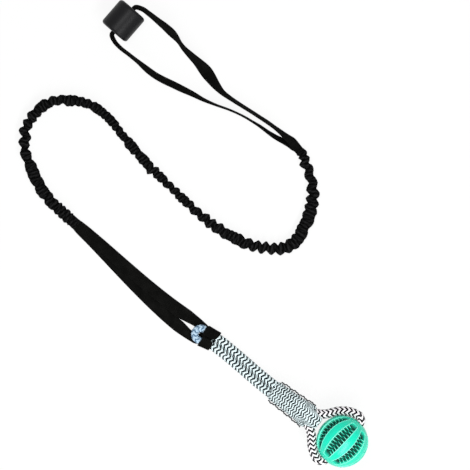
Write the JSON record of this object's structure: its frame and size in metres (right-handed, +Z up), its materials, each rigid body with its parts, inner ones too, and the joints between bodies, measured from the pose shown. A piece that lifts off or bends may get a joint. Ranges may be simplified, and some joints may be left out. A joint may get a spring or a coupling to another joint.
{
  "type": "bungee tug toy",
  "caption": "Bungee dog tug toy: foam barrel on a webbing hand loop, pleated bungee cord, webbing loop hitched to a braided rope, and a toothed treat ball.",
  "frame": {"origin": "on the ground, under the middle of everything but the bungee", "axes": "+Z up from the ground the toy lies on; +Y along the toy's longest extent, from the ball towards the barrel"},
  "size_m": [0.4744, 0.6337, 0.0697],
  "materials": {
    "black_foam": "satin",
    "liner_plastic": "matte",
    "black_webbing": "woven",
    "sleeve_nylon": "pleated weave",
    "core_rubber": "matte",
    "rope_braid": "braided, with dark chevrons",
    "mint_rubber": "glossy"
  },
  "bodies": {
    "hand_end": {"hand_strap": "black_webbing", "bungee_sleeve": "sleeve_nylon", "bungee_core": "core_rubber", "bungee_sleeve_end": "sleeve_nylon", "bungee_core_end": "core_rubber"},
    "barrel": {"barrel_cover": "black_foam", "barrel_liner": "liner_plastic"},
    "tail": {"lower_strap": "black_webbing"},
    "rope_end": {"strap_hitch": "black_webbing", "rope_loop": "rope_braid", "rope_collar": "rope_braid"},
    "ball": {"ball": "mint_rubber"}
  },
  "joints": [
    {"name": "barrel_spin", "type": "hinge", "parent": "hand_end", "child": "barrel", "pos_m": [-0.13112, 0.28869, 0.02175], "axis": [0.6543, 0.7562, 0], "continuous": true},
    {"name": "bungee_stretch", "type": "slide", "parent": "hand_end", "child": "tail", "axis": [0.7443, -0.6678, 0], "range_m": [0, 0.12], "stiffness_N_per_m": 100, "deforming": ["bungee_sleeve_end", "bungee_core_end"]},
    {"name": "rope_lift", "type": "hinge", "parent": "tail", "child": "rope_end", "pos_m": [-0.04977, -0.11964, 0.0018], "axis": [-0.5976, -0.8018, 0], "range_deg": [0, 75]},
    {"name": "ball_spin", "type": "hinge", "parent": "rope_end", "child": "ball", "pos_m": [0.16589, -0.28226, 0.035], "axis": [0.6921, 0.7218, 0], "continuous": true}
  ]
}
